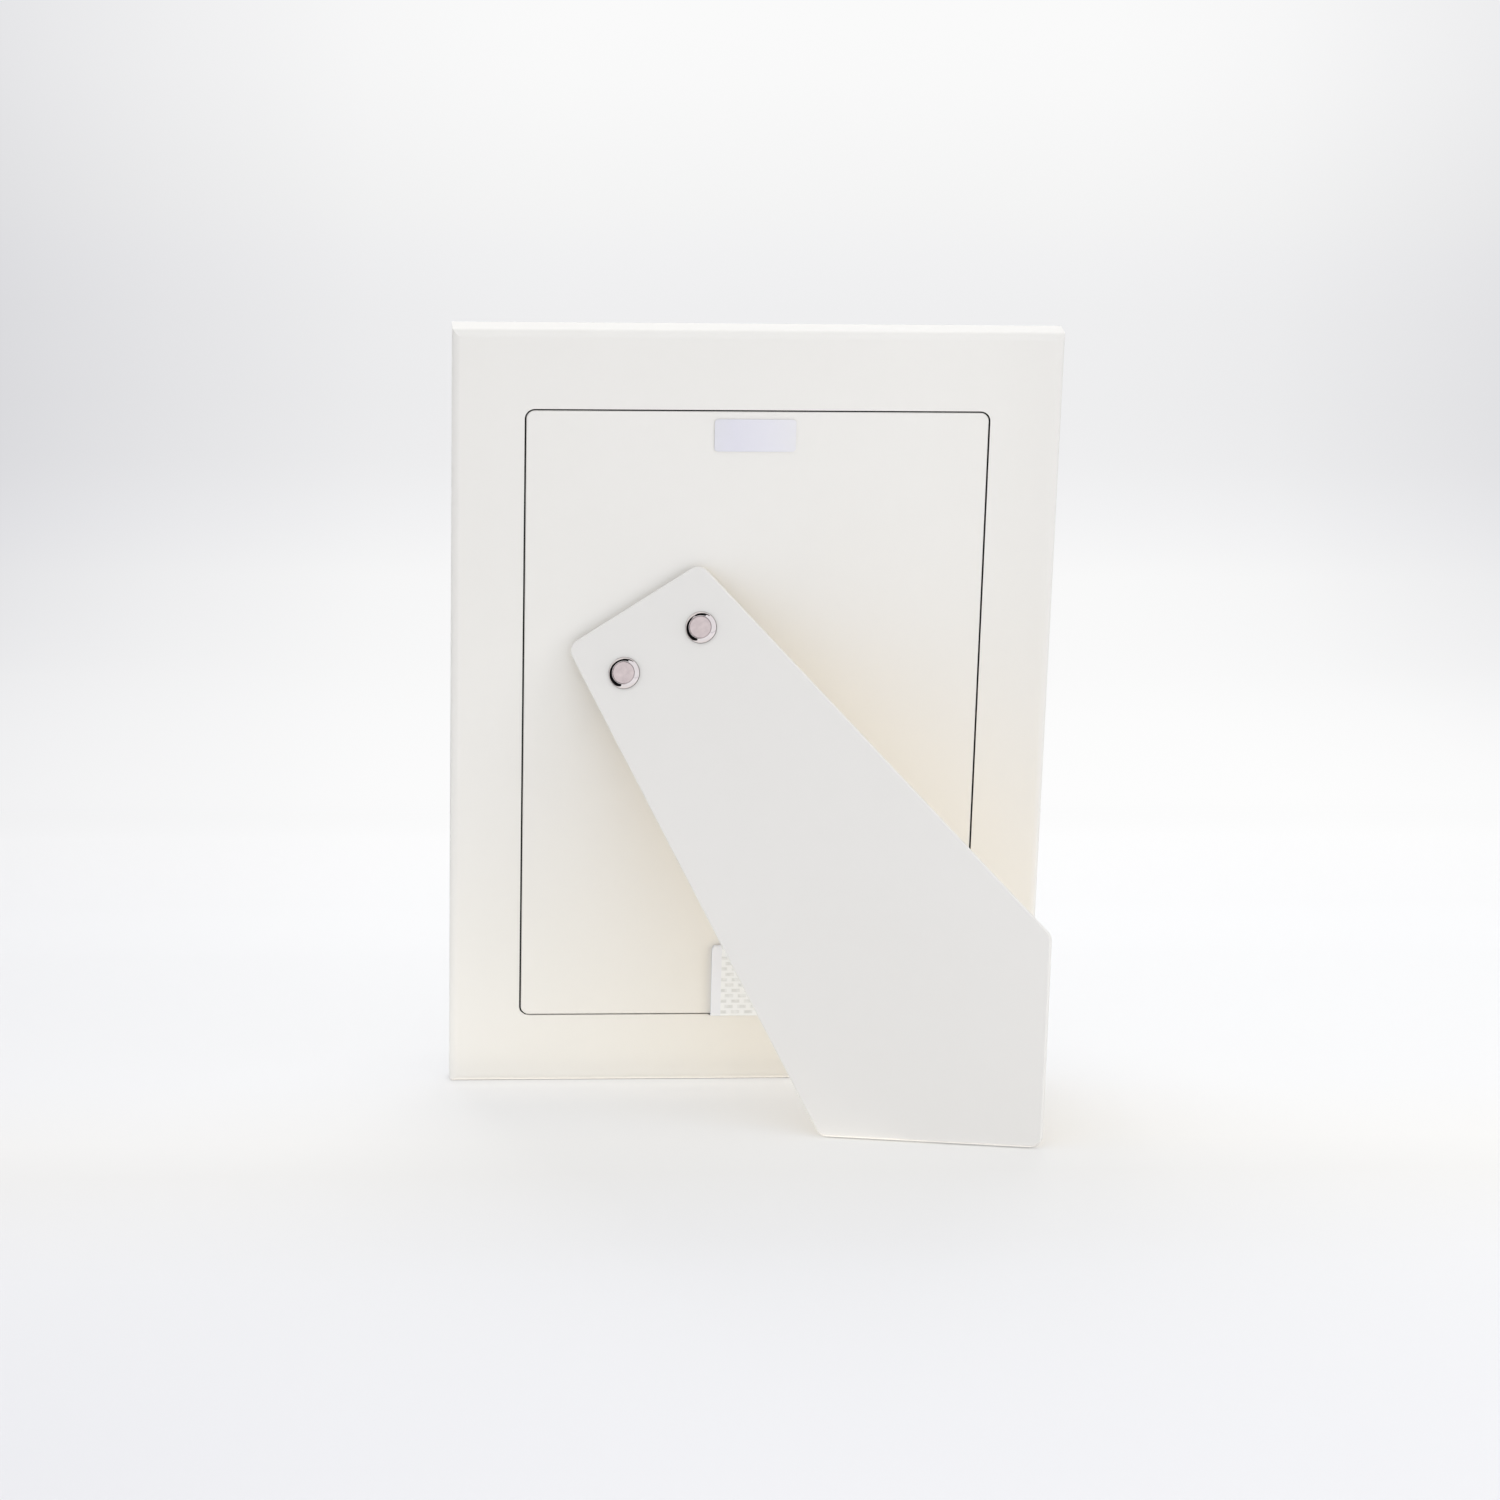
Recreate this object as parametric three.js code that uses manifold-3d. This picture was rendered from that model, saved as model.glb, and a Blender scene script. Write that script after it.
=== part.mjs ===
// A white tabletop picture frame for a 127 x 178 mm photo, standing upright on its strut.
// Lengths are in millimetres. The finished part has +Z up, its front faces -Y and its strut +Y.
// Each piece is drawn as seen from behind: x to the right, y up the frame, z out of its rear face.

import * as THREE from "three";
import { mergeVertices } from "three/addons/utils/BufferGeometryUtils.js";
import Module from "manifold-3d";

// Frame body, with borders measured from the back panel's edges
const BORDER_SIDE = 20.8;
const BORDER_LOW = 21.65;
const BORDER_TOP = 22.95;
const LIP_T = 3.7;
const EDGE_ROUND = 2.3;
const WINDOW_LAP = 4;
const WINDOW_CHAMFER = 1.5;
const WINDOW_CORNER_R = 1;

// Photo and what lies round it, from the front to the rear
const PHOTO_W = 127;
const PHOTO_H = 178;
const PHOTO_T = 0.3;
const GLASS_T = 2;
const BACKING_T = 2.1;
const POCKET_GAP = 0.6;
const RELIEF_R = 1.5;
const STACK_GAP = 0.1;

// Back panel, flush with the rear face: how far it laps past the photo's edges, and the gap round it,
// which is narrower below, where the panel rests
const PANEL_SIDE_LAP = 1.7;
const PANEL_END_LAP = 2.5;
const PANEL_T = 3;
const PANEL_GAP = 0.5;
const PANEL_REST_GAP = 0.3;
const PANEL_CORNER_R = 2.4;
const PANEL_EDGE = 0.25;

// Woven pull tape, folded round the lower edge of the panel
const TAPE_W = 18.8;
const TAPE_T = 0.4;
const TAPE_FOLD_T = 1.3;
const TAPE_LENGTH = 22;
const TAPE_TAIL = 14;
const TAPE_CORNER_R = 1.8;
const TAPE_CLEARANCE = 0.1;

// Blank label
const LABEL_W = 23;
const LABEL_H = 9.4;
const LABEL_T = 0.12;
const LABEL_DROP = 6.8;
const LABEL_SHIFT = -0.8;
const LABEL_CORNER_R = 1;

// How the frame stands, and where its strut turns
const LEAN = THREE.MathUtils.degToRad(12);
const OPEN_ANGLE = THREE.MathUtils.degToRad(29.2);
const HINGE_TURN = THREE.MathUtils.degToRad(33.7);
const HINGE_X = -30.5;
const HINGE_DROP = 62.15;

// Hinge: two steel leaves rolled round one pin
const LEAF_T = 0.55;
const LEAF_W = 34;
const LEAF_LENGTH = 19;
const LEAF_CORNER_R = 2;
const KNUCKLE_R = 1.4;
const KNUCKLE_GAP = 0.2;
const CURL_ANGLE = THREE.MathUtils.degToRad(285);
const PIN_CLEARANCE = 0.1;
const PIN_OVERHANG = 0.6;
const PIN_EDGE = 0.2;
const SEAT_GAP = 0.15;

// Strut board
const STRUT_T = 3;
const STRUT_TOP_W = 45;
const STRUT_LEFT_FLARE = THREE.MathUtils.degToRad(3);
const STRUT_RIGHT_FLARE = THREE.MathUtils.degToRad(12.3);
const STRUT_SIDE_OVERHANG = 3.8;
const STRUT_CORNER_R = 3.5;
const STRUT_EDGE = 0.4;

// Rivets that hold the strut to its leaf, each in a cup washer
const RIVET_INSET = 4.25;
const RIVET_SHIFT = 0.7;
const RIVET_DROP = 9.9;
const RIVET_SLOPE = 0.3;
const SHANK_R = 1.5;
const BORE_CLEARANCE = 0.2;
const HEAD_R = 3.15;
const HEAD_T = 0.55;
const HEAD_ROUND = 0.3;
const TAIL_R = 2.4;
const TAIL_T = 0.5;
const TAIL_ROUND = 0.25;
const WASHER_R = 4.55;
const WASHER_CROWN_R = 3.5;
const WASHER_CROWN_H = 1.05;
const WASHER_T = 0.3;

// Rivets that hold the other leaf to the panel
const PANEL_RIVET_SPACING = 11;
const PANEL_RIVET_DROP = 14.5;
const PANEL_SHANK_R = 1.2;
const PANEL_HEAD_R = 2.2;
const PANEL_HEAD_T = 0.45;
const PANEL_TAIL_R = 2.2;
const PANEL_TAIL_T = 0.5;

const CURVE_STEPS = 6;
const EDGE_STEPS = 10;
const RIM_STEPS = 4;
const ROUND_STEPS = 32;
const CUT_EXTRA = 1;

// Depths below the rear face
const ledgeZ = -(PANEL_T + STACK_GAP);
const backingZ = -(PANEL_T + TAPE_T + 2 * SEAT_GAP);
const photoZ = backingZ - BACKING_T - STACK_GAP;
const glassZ = photoZ - PHOTO_T - STACK_GAP;
const lipZ = glassZ - GLASS_T - STACK_GAP;
const frontZ = lipZ - LIP_T;

// Sizes and places shared by several pieces
const panelW = PHOTO_W + 2 * PANEL_SIDE_LAP;
const panelH = PHOTO_H + 2 * PANEL_END_LAP;
const panelY = BORDER_LOW + panelH / 2;
const panelTop = BORDER_LOW + panelH;
const frameW = panelW + 2 * BORDER_SIDE;
const frameH = panelTop + BORDER_TOP;
const tapeRoom = TAPE_T + 2 * TAPE_CLEARANCE;
const hingePoint = new THREE.Vector2(HINGE_X, panelTop - HINGE_DROP);
const axisZ = SEAT_GAP + KNUCKLE_R;
const boardZ = KNUCKLE_R + STACK_GAP;
const heelReach = (axisZ + boardZ * Math.cos(OPEN_ANGLE) - SEAT_GAP) / Math.sin(OPEN_ANGLE);
const strutTopY = heelReach + STRUT_EDGE;
const rivetPlaces = [-1, 1].map((side) => {
  return [RIVET_SHIFT + side * (LEAF_W / 2 - RIVET_INSET), -RIVET_DROP - side * RIVET_SLOPE];
});
const panelRivetXs = [-PANEL_RIVET_SPACING / 2, PANEL_RIVET_SPACING / 2];

const wasm = await Module();
wasm.setup();

const paint = new THREE.MeshStandardMaterial({ color: 0xe9e8e4, roughness: 0.55, metalness: 0 });
const boardPaint = new THREE.MeshStandardMaterial({ color: 0xe5e4e0, roughness: 0.6, metalness: 0 });
const nickel = new THREE.MeshStandardMaterial({ color: 0xd2cbca, roughness: 0.22, metalness: 1 });
const zinc = new THREE.MeshStandardMaterial({ color: 0xb9bcbe, roughness: 0.4, metalness: 1 });
const glass = new THREE.MeshStandardMaterial({ color: 0xdfe8e6, roughness: 0.05, metalness: 0 });
const paper = new THREE.MeshStandardMaterial({ color: 0xf4f3ef, roughness: 0.7, metalness: 0 });
const greyBoard = new THREE.MeshStandardMaterial({ color: 0x9c9890, roughness: 0.9, metalness: 0 });
const tapeWeave = new THREE.MeshStandardMaterial({ color: 0xeeeeed, roughness: 0.85, metalness: 0 });
const labelFilm = new THREE.MeshStandardMaterial({ color: 0xe6e6f2, roughness: 0.35, metalness: 0 });

// A closed geometry as a solid that can be cut and joined
function solid(geometry) {
  const bare = geometry.clone();
  bare.deleteAttribute("normal");
  bare.deleteAttribute("uv");
  const merged = mergeVertices(bare, 1e-4);
  const vertProperties = new Float32Array(merged.attributes.position.array);
  const triVerts = new Uint32Array(merged.index.array);
  return new wasm.Manifold(new wasm.Mesh({ numProp: 3, vertProperties, triVerts }));
}

// A cut or joined solid back as a geometry
function surface(made) {
  const mesh = made.getMesh();
  const geometry = new THREE.BufferGeometry();
  geometry.setAttribute("position", new THREE.BufferAttribute(mesh.vertProperties, 3));
  geometry.setIndex(new THREE.BufferAttribute(mesh.triVerts, 1));
  const flat = geometry.toNonIndexed();
  flat.computeVertexNormals();
  return flat;
}

function cut(geometry, ...tools) {
  return surface(tools.reduce((left, tool) => left.subtract(solid(tool)), solid(geometry)));
}

function piece(name, geometry, material) {
  const mesh = new THREE.Mesh(geometry, material);
  mesh.name = name;
  return mesh;
}

// An outline with every corner rounded, from corners that run anticlockwise
function roundedOutline(corners, radius) {
  const outline = new THREE.Shape();
  corners.forEach((corner, i) => {
    const before = corners.at(i - 1);
    const after = corners[(i + 1) % corners.length];
    const back = before.clone().sub(corner).normalize();
    const on = after.clone().sub(corner).normalize();
    const half = Math.acos(THREE.MathUtils.clamp(back.dot(on), -1, 1)) / 2;
    const centre = back.clone().add(on).normalize().multiplyScalar(radius / Math.sin(half)).add(corner);
    const start = corner.clone().addScaledVector(back, radius / Math.tan(half));
    const end = corner.clone().addScaledVector(on, radius / Math.tan(half));
    const startAngle = Math.atan2(start.y - centre.y, start.x - centre.x);
    const endAngle = Math.atan2(end.y - centre.y, end.x - centre.x);
    outline.absarc(centre.x, centre.y, radius, startAngle, endAngle, false);
  });
  outline.closePath();
  return outline;
}

function rectangle(width, height, centreY) {
  const x = width / 2;
  const low = centreY - height / 2;
  const high = centreY + height / 2;
  return [
    new THREE.Vector2(-x, low),
    new THREE.Vector2(x, low),
    new THREE.Vector2(x, high),
    new THREE.Vector2(-x, high),
  ];
}

// A plate between two heights with both rims broken by an edge, inside the outline
function plate(outline, fromZ, toZ, edge, edgeSteps = 1) {
  const geometry = new THREE.ExtrudeGeometry(outline, {
    depth: toZ - fromZ - 2 * edge,
    bevelEnabled: edge > 0,
    bevelThickness: edge,
    bevelSize: edge,
    bevelOffset: -edge,
    bevelSegments: edgeSteps,
    curveSegments: CURVE_STEPS,
  });
  return geometry.translate(0, 0, fromZ + edge);
}

// A disc or bore along z
function disc(radius, fromZ, toZ, x, y) {
  const geometry = new THREE.CylinderGeometry(radius, radius, toZ - fromZ, ROUND_STEPS);
  return geometry.rotateX(Math.PI / 2).translate(x, y, (fromZ + toZ) / 2);
}

function block(fromX, toX, fromY, toY, fromZ, toZ) {
  const geometry = new THREE.BoxGeometry(toX - fromX, toY - fromY, toZ - fromZ);
  return geometry.translate((fromX + toX) / 2, (fromY + toY) / 2, (fromZ + toZ) / 2);
}

// A turned piece from its half section, radius across and height up, with its axis along z
function turned(section) {
  return new THREE.LatheGeometry(section.getPoints(RIM_STEPS), ROUND_STEPS).rotateX(Math.PI / 2);
}

// One-piece frame, routed from behind: panel recess, glass pocket with relieved corners, tape slot, window
function frameBody() {
  const outline = new THREE.Shape(rectangle(frameW, frameH, frameH / 2));
  const blank = plate(outline, frontZ, 0, EDGE_ROUND, EDGE_STEPS);
  const recessH = panelH + PANEL_GAP + PANEL_REST_GAP;
  const recessOutline = roundedOutline(
    rectangle(panelW + 2 * PANEL_GAP, recessH, panelY + (PANEL_GAP - PANEL_REST_GAP) / 2),
    PANEL_CORNER_R + PANEL_GAP,
  );
  const recess = plate(recessOutline, ledgeZ, CUT_EXTRA, 0);
  const pocketCorners = rectangle(PHOTO_W + 2 * POCKET_GAP, PHOTO_H + 2 * POCKET_GAP, panelY);
  const pocket = plate(new THREE.Shape(pocketCorners), lipZ, CUT_EXTRA, 0);
  const reliefs = pocketCorners.map((corner) => disc(RELIEF_R, lipZ, CUT_EXTRA, corner.x, corner.y));
  const slotHalf = TAPE_W / 2 + PANEL_GAP;
  const slotTop = pocketCorners[0].y + CUT_EXTRA;
  const tapeSlot = block(-slotHalf, slotHalf, BORDER_LOW - tapeRoom, slotTop, backingZ, CUT_EXTRA);
  const windowW = PHOTO_W - 2 * WINDOW_LAP;
  const windowH = PHOTO_H - 2 * WINDOW_LAP;
  const windowOutline = roundedOutline(rectangle(windowW, windowH, panelY), WINDOW_CORNER_R);
  const opening = plate(windowOutline, frontZ - CUT_EXTRA, CUT_EXTRA, 0);
  const flareOutline = roundedOutline(
    rectangle(windowW + 2 * WINDOW_CHAMFER, windowH + 2 * WINDOW_CHAMFER, panelY),
    WINDOW_CORNER_R + WINDOW_CHAMFER,
  );
  const flare = plate(flareOutline, frontZ - 2 * WINDOW_CHAMFER, frontZ + WINDOW_CHAMFER, WINDOW_CHAMFER);
  return cut(blank, recess, pocket, ...reliefs, tapeSlot, opening, flare);
}

function sheet(width, height, thickness, fromZ) {
  return plate(new THREE.Shape(rectangle(width, height, panelY)), fromZ, fromZ + thickness, 0);
}

// Where a point beside the hinge axis lies on the panel
function onPanel(x, y) {
  return new THREE.Vector2(x, y).rotateAround(new THREE.Vector2(), HINGE_TURN).add(hingePoint);
}

// Back panel with two bores for the leaf's rivets, each sunk inside for the rivet's tail
function backPanel() {
  const outline = roundedOutline(rectangle(panelW, panelH, panelY), PANEL_CORNER_R);
  const blank = plate(outline, -PANEL_T, 0, PANEL_EDGE);
  const bores = panelRivetXs.flatMap((x) => {
    const place = onPanel(x, -PANEL_RIVET_DROP);
    const sinkZ = PANEL_TAIL_T + 2 * SEAT_GAP - PANEL_T;
    return [
      disc(PANEL_SHANK_R + BORE_CLEARANCE, -PANEL_T - CUT_EXTRA, CUT_EXTRA, place.x, place.y),
      disc(PANEL_TAIL_R + BORE_CLEARANCE, -PANEL_T - CUT_EXTRA, sinkZ, place.x, place.y),
    ];
  });
  return cut(blank, ...bores);
}

// Pull tape from the side: a folded tab on the panel, through the gap, and a flat tail inside.
// The tab's free corners are rounded.
function pullTape() {
  const low = BORDER_LOW - tapeRoom + TAPE_CLEARANCE;
  const inner = low + TAPE_T;
  const tabTop = BORDER_LOW + TAPE_LENGTH;
  const tabR = TAPE_FOLD_T / 2;
  const tailZ = -PANEL_T - SEAT_GAP;
  const side = new THREE.Shape();
  side.moveTo(low, tailZ - TAPE_T);
  side.lineTo(low, SEAT_GAP + TAPE_FOLD_T - tabR);
  side.absarc(low + tabR, SEAT_GAP + TAPE_FOLD_T - tabR, tabR, Math.PI, Math.PI / 2, true);
  side.absarc(tabTop - tabR, SEAT_GAP + tabR, tabR, Math.PI / 2, -Math.PI / 2, true);
  side.lineTo(inner, SEAT_GAP);
  side.lineTo(inner, tailZ);
  side.lineTo(BORDER_LOW + TAPE_TAIL, tailZ);
  side.lineTo(BORDER_LOW + TAPE_TAIL, tailZ - TAPE_T);
  side.closePath();
  const options = { depth: TAPE_W, bevelEnabled: false, curveSegments: CURVE_STEPS };
  const geometry = new THREE.ExtrudeGeometry(side, options);
  geometry.rotateX(Math.PI / 2).rotateZ(Math.PI / 2).translate(-TAPE_W / 2, 0, 0);
  const planLow = low - 2 * TAPE_CORNER_R;
  const planCorners = rectangle(TAPE_W, tabTop - planLow, (tabTop + planLow) / 2);
  const plan = plate(roundedOutline(planCorners, TAPE_CORNER_R), lipZ, CUT_EXTRA + TAPE_FOLD_T, 0);
  return surface(solid(geometry).intersect(solid(plan)));
}

function blankLabel() {
  const labelY = panelTop - LABEL_DROP;
  const outline = roundedOutline(rectangle(LABEL_W, LABEL_H, labelY), LABEL_CORNER_R);
  return plate(outline, SEAT_GAP, SEAT_GAP + LABEL_T, 0).translate(LABEL_SHIFT, 0, 0);
}

// A rolled leaf, seen along the pin with the axis at the origin: a flat plate that curls round it
function leafBlank() {
  const inner = KNUCKLE_R - LEAF_T;
  const endAngle = CURL_ANGLE - Math.PI / 2;
  const side = new THREE.Shape();
  side.moveTo(-LEAF_LENGTH, -KNUCKLE_R);
  side.lineTo(0, -KNUCKLE_R);
  side.absarc(0, 0, KNUCKLE_R, -Math.PI / 2, endAngle, false);
  side.absarc(0, 0, inner, endAngle, -Math.PI / 2, true);
  side.lineTo(-LEAF_LENGTH, -inner);
  side.closePath();
  const options = { depth: LEAF_W, bevelEnabled: false, curveSegments: 3 * CURVE_STEPS };
  const geometry = new THREE.ExtrudeGeometry(side, options);
  return geometry.rotateX(Math.PI / 2).rotateZ(Math.PI / 2).translate(-LEAF_W / 2, 0, 0);
}

// A leaf keeps the knuckles whose spans along the pin are given, and has a rivet bore at each place
function leaf(notches, places, shankR) {
  const reach = KNUCKLE_R + KNUCKLE_GAP;
  const planCorners = rectangle(LEAF_W, LEAF_LENGTH + 2 * reach, -LEAF_LENGTH / 2 + reach);
  const plan = plate(roundedOutline(planCorners, LEAF_CORNER_R), -reach, reach, 0);
  const spaces = notches.map(([from, to]) => block(from, to, -reach, 2 * reach, -reach, reach));
  const bores = places.map(([x, y]) => disc(shankR + BORE_CLEARANCE, -reach, reach, x, y));
  const tools = [...spaces, ...bores];
  const trimmed = solid(leafBlank()).intersect(solid(plan));
  return surface(tools.reduce((left, tool) => left.subtract(solid(tool)), trimmed));
}

const knuckleHalf = LEAF_W / 6;

function panelLeaf() {
  const middle = [-knuckleHalf - KNUCKLE_GAP / 2, knuckleHalf + KNUCKLE_GAP / 2];
  const places = panelRivetXs.map((x) => [x, -PANEL_RIVET_DROP]);
  return leaf([middle], places, PANEL_SHANK_R).translate(0, 0, axisZ);
}

function strutLeaf() {
  const left = [-LEAF_W, -knuckleHalf + KNUCKLE_GAP / 2];
  const right = [knuckleHalf - KNUCKLE_GAP / 2, LEAF_W];
  const places = rivetPlaces.map(([x, y]) => [-x, y]);
  return leaf([left, right], places, SHANK_R).rotateY(Math.PI);
}

function hingePin() {
  const radius = KNUCKLE_R - LEAF_T - PIN_CLEARANCE;
  const half = LEAF_W / 2 + PIN_OVERHANG;
  const section = new THREE.Shape();
  section.moveTo(0, -half);
  section.lineTo(radius - PIN_EDGE, -half);
  section.lineTo(radius, PIN_EDGE - half);
  section.lineTo(radius, half - PIN_EDGE);
  section.lineTo(radius - PIN_EDGE, half);
  section.lineTo(0, half);
  return turned(section).rotateY(Math.PI / 2);
}

// A line a x + b y + c = 0 through a point, running at an angle from the downward y axis
function edgeLine(x, y, angle) {
  const a = Math.cos(angle);
  const b = Math.sin(angle);
  return { a, b, c: -(a * x + b * y) };
}

function meet(first, second) {
  const scale = first.a * second.b - second.a * first.b;
  const x = (first.b * second.c - second.b * first.c) / scale;
  const y = (second.a * first.c - first.a * second.c) / scale;
  return new THREE.Vector2(x, y);
}

// The line on the strut, at one depth in its board, where the open strut meets the floor
function floorLine(depth) {
  const height = (x, y) => strutGroup.localToWorld(new THREE.Vector3(x, y, depth)).z;
  const c = height(0, 0);
  return { a: height(1, 0) - c, b: height(0, 1) - c, c };
}

// Strut outline: the foot lies on the floor when open, and its side is level with the frame's side when shut
function strutOutline() {
  const top = { a: 0, b: 1, c: -strutTopY };
  const left = edgeLine(-STRUT_TOP_W / 2, strutTopY, -STRUT_LEFT_FLARE);
  const right = edgeLine(STRUT_TOP_W / 2, strutTopY, STRUT_RIGHT_FLARE);
  const sideX = frameW / 2 + STRUT_SIDE_OVERHANG;
  const side = { a: Math.cos(HINGE_TURN), b: -Math.sin(HINGE_TURN), c: HINGE_X - sideX };
  const foot = floorLine(boardZ + STRUT_EDGE);
  const corners = [meet(foot, side), meet(side, right), meet(right, top), meet(top, left), meet(left, foot)];
  return roundedOutline(corners, STRUT_CORNER_R);
}

function strutBoard() {
  const blank = plate(strutOutline(), boardZ, boardZ + STRUT_T, STRUT_EDGE);
  const bores = rivetPlaces.map(([x, y]) => {
    return disc(SHANK_R + BORE_CLEARANCE, boardZ - CUT_EXTRA, boardZ + STRUT_T + CUT_EXTRA, x, y);
  });
  return cut(blank, ...bores);
}

// Cup washer: a thin ring pressed up to a round crown, with a sunk floor for the rivet's head
function cupWasher() {
  const hole = SHANK_R + BORE_CLEARANCE;
  const floorR = HEAD_R + BORE_CLEARANCE;
  const section = new THREE.Shape();
  section.moveTo(hole, 0);
  section.lineTo(WASHER_R, 0);
  section.quadraticCurveTo(WASHER_R, WASHER_CROWN_H, WASHER_CROWN_R, WASHER_CROWN_H);
  section.quadraticCurveTo(floorR, WASHER_CROWN_H, floorR, WASHER_T);
  section.lineTo(hole, WASHER_T);
  section.closePath();
  return turned(section);
}

// Rivet from its tail to its head, with both rims rounded
function rivet(shankR, tailR, tailT, grip, headR, headT) {
  const headTop = grip + headT;
  const section = new THREE.Shape();
  section.moveTo(0, -tailT);
  section.lineTo(tailR - TAIL_ROUND, -tailT);
  section.quadraticCurveTo(tailR, -tailT, tailR, TAIL_ROUND - tailT);
  section.lineTo(tailR, 0);
  section.lineTo(shankR, 0);
  section.lineTo(shankR, grip);
  section.lineTo(headR, grip);
  section.lineTo(headR, headTop - HEAD_ROUND);
  section.quadraticCurveTo(headR, headTop, headR - HEAD_ROUND, headTop);
  section.lineTo(0, headTop);
  return turned(section);
}

function strutRivet() {
  const tailTop = KNUCKLE_R - LEAF_T - SEAT_GAP;
  const grip = boardZ + STRUT_T + WASHER_T + 2 * SEAT_GAP - tailTop;
  const made = rivet(SHANK_R, TAIL_R, TAIL_T, grip, HEAD_R, HEAD_T);
  return made.translate(0, 0, tailTop);
}

function panelRivet() {
  const tailTop = PANEL_TAIL_T + SEAT_GAP - PANEL_T;
  const grip = LEAF_T + 2 * SEAT_GAP - tailTop;
  const made = rivet(PANEL_SHANK_R, PANEL_TAIL_R, PANEL_TAIL_T, grip, PANEL_HEAD_R, PANEL_HEAD_T);
  return made.translate(0, 0, tailTop);
}

// The frame lies in its own plane, and leans back so that its rounded lower rear edge is on the floor
const frame = new THREE.Group();
frame.rotation.set(Math.PI / 2 + LEAN, 0, Math.PI, "ZYX");
frame.position.z = -EDGE_ROUND * (Math.sin(LEAN) + Math.cos(LEAN) - 1);

const hingeGroup = new THREE.Group();
hingeGroup.position.set(hingePoint.x, hingePoint.y, 0);
hingeGroup.rotation.z = HINGE_TURN;
frame.add(hingeGroup);

const strutGroup = new THREE.Group();
strutGroup.position.z = axisZ;
strutGroup.rotation.x = -OPEN_ANGLE;
hingeGroup.add(strutGroup);
strutGroup.updateWorldMatrix(true, false);

frame.add(
  piece("frame_body", frameBody(), paint),
  piece("glass_pane", sheet(PHOTO_W, PHOTO_H, GLASS_T, glassZ - GLASS_T), glass),
  piece("photo_insert", sheet(PHOTO_W, PHOTO_H, PHOTO_T, photoZ - PHOTO_T), paper),
  piece("backing_board", sheet(PHOTO_W, PHOTO_H, BACKING_T, backingZ - BACKING_T), greyBoard),
  piece("back_panel", backPanel(), paint),
  piece("pull_tape", pullTape(), tapeWeave),
  piece("blank_label", blankLabel(), labelFilm),
);

const pin = piece("hinge_pin", hingePin(), zinc);
pin.position.z = axisZ;
hingeGroup.add(piece("panel_leaf", panelLeaf(), zinc), pin);

strutGroup.add(piece("strut", strutBoard(), boardPaint), piece("strut_leaf", strutLeaf(), zinc));

["left", "right"].forEach((side, i) => {
  const panelFastener = piece("panel_rivet_" + side, panelRivet(), zinc);
  panelFastener.position.set(panelRivetXs[i], -PANEL_RIVET_DROP, 0);
  hingeGroup.add(panelFastener);
  const washer = piece("cup_washer_" + side, cupWasher(), nickel);
  washer.position.set(...rivetPlaces[i], boardZ + STRUT_T + SEAT_GAP);
  const fastener = piece("strut_rivet_" + side, strutRivet(), nickel);
  fastener.position.set(...rivetPlaces[i], 0);
  strutGroup.add(washer, fastener);
});

// The finished part stands with the middle of its footprint at the origin
const part = new THREE.Group();
part.add(frame);
const bounds = new THREE.Box3().setFromObject(part, true);
frame.position.y -= (bounds.min.y + bounds.max.y) / 2;

export default part;
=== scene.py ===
# A white tabletop picture frame for a 127 x 178 mm photo, seen from behind as it stands on its open strut.
# Metres, in the part's own frame: +Z up, the picture faces -Y and the strut stands towards +Y.
import math

import bmesh
import bpy
from mathutils import Matrix, Quaternion, Vector


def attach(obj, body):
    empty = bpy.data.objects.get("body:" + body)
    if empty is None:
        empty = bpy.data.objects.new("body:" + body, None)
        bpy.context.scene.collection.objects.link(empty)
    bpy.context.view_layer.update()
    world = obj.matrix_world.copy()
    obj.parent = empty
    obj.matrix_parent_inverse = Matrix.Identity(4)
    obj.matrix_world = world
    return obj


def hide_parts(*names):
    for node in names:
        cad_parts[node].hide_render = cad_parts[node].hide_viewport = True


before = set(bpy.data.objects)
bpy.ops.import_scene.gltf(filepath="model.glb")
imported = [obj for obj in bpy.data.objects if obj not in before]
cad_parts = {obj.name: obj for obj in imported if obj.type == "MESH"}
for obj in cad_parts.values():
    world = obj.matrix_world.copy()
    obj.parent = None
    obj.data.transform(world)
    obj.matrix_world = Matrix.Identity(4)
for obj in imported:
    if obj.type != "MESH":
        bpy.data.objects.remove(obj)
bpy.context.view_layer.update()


# Camera
# A long lens, a little over a metre behind the frame and a hand above its top, looking slightly down. Its
# place, direction and lens are fitted to the straight edges of the frame and its panel.
CAMERA_PLACE = (0.102905, 1.224797, 0.26468)
CAMERA_LOOK = Vector((-0.081737, -0.988190, -0.129612))
CAMERA_ROLL = Quaternion((0, 0, 1), math.radians(0.571))
LENS = 104.874
SENSOR = 36

bpy.ops.object.select_all(action="DESELECT")
bpy.ops.object.camera_add(location=CAMERA_PLACE)
camera = bpy.context.object
camera.name = "camera"
camera.data.lens = LENS
camera.data.sensor_width = SENSOR
camera.rotation_mode = "QUATERNION"
camera.rotation_quaternion = CAMERA_LOOK.to_track_quat("-Z", "Y") @ CAMERA_ROLL
bpy.context.scene.camera = camera
bpy.context.scene.view_settings.view_transform = "Standard"


# Frame body
# One board of fibreboard, routed to a frame with a rebate for the glass and a recess for the panel. It is
# primed dark in the rebate, a dark that also stands in as painted shade deep in the gap round the panel,
# and sprayed with several coats of satin white lacquer from outside.
MM = 0.001
LEAN = math.radians(12)
REAR_ARRIS = Vector((0, -43.107, -0.428)) * MM
# x across the back, y up it from its lower arris and z out of it
REAR_PLANE = (
    Matrix.Translation(REAR_ARRIS)
    @ Matrix.Rotation(math.pi, 4, "Z")
    @ Matrix.Rotation(math.pi / 2 + LEAN, 4, "X")
)


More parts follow.
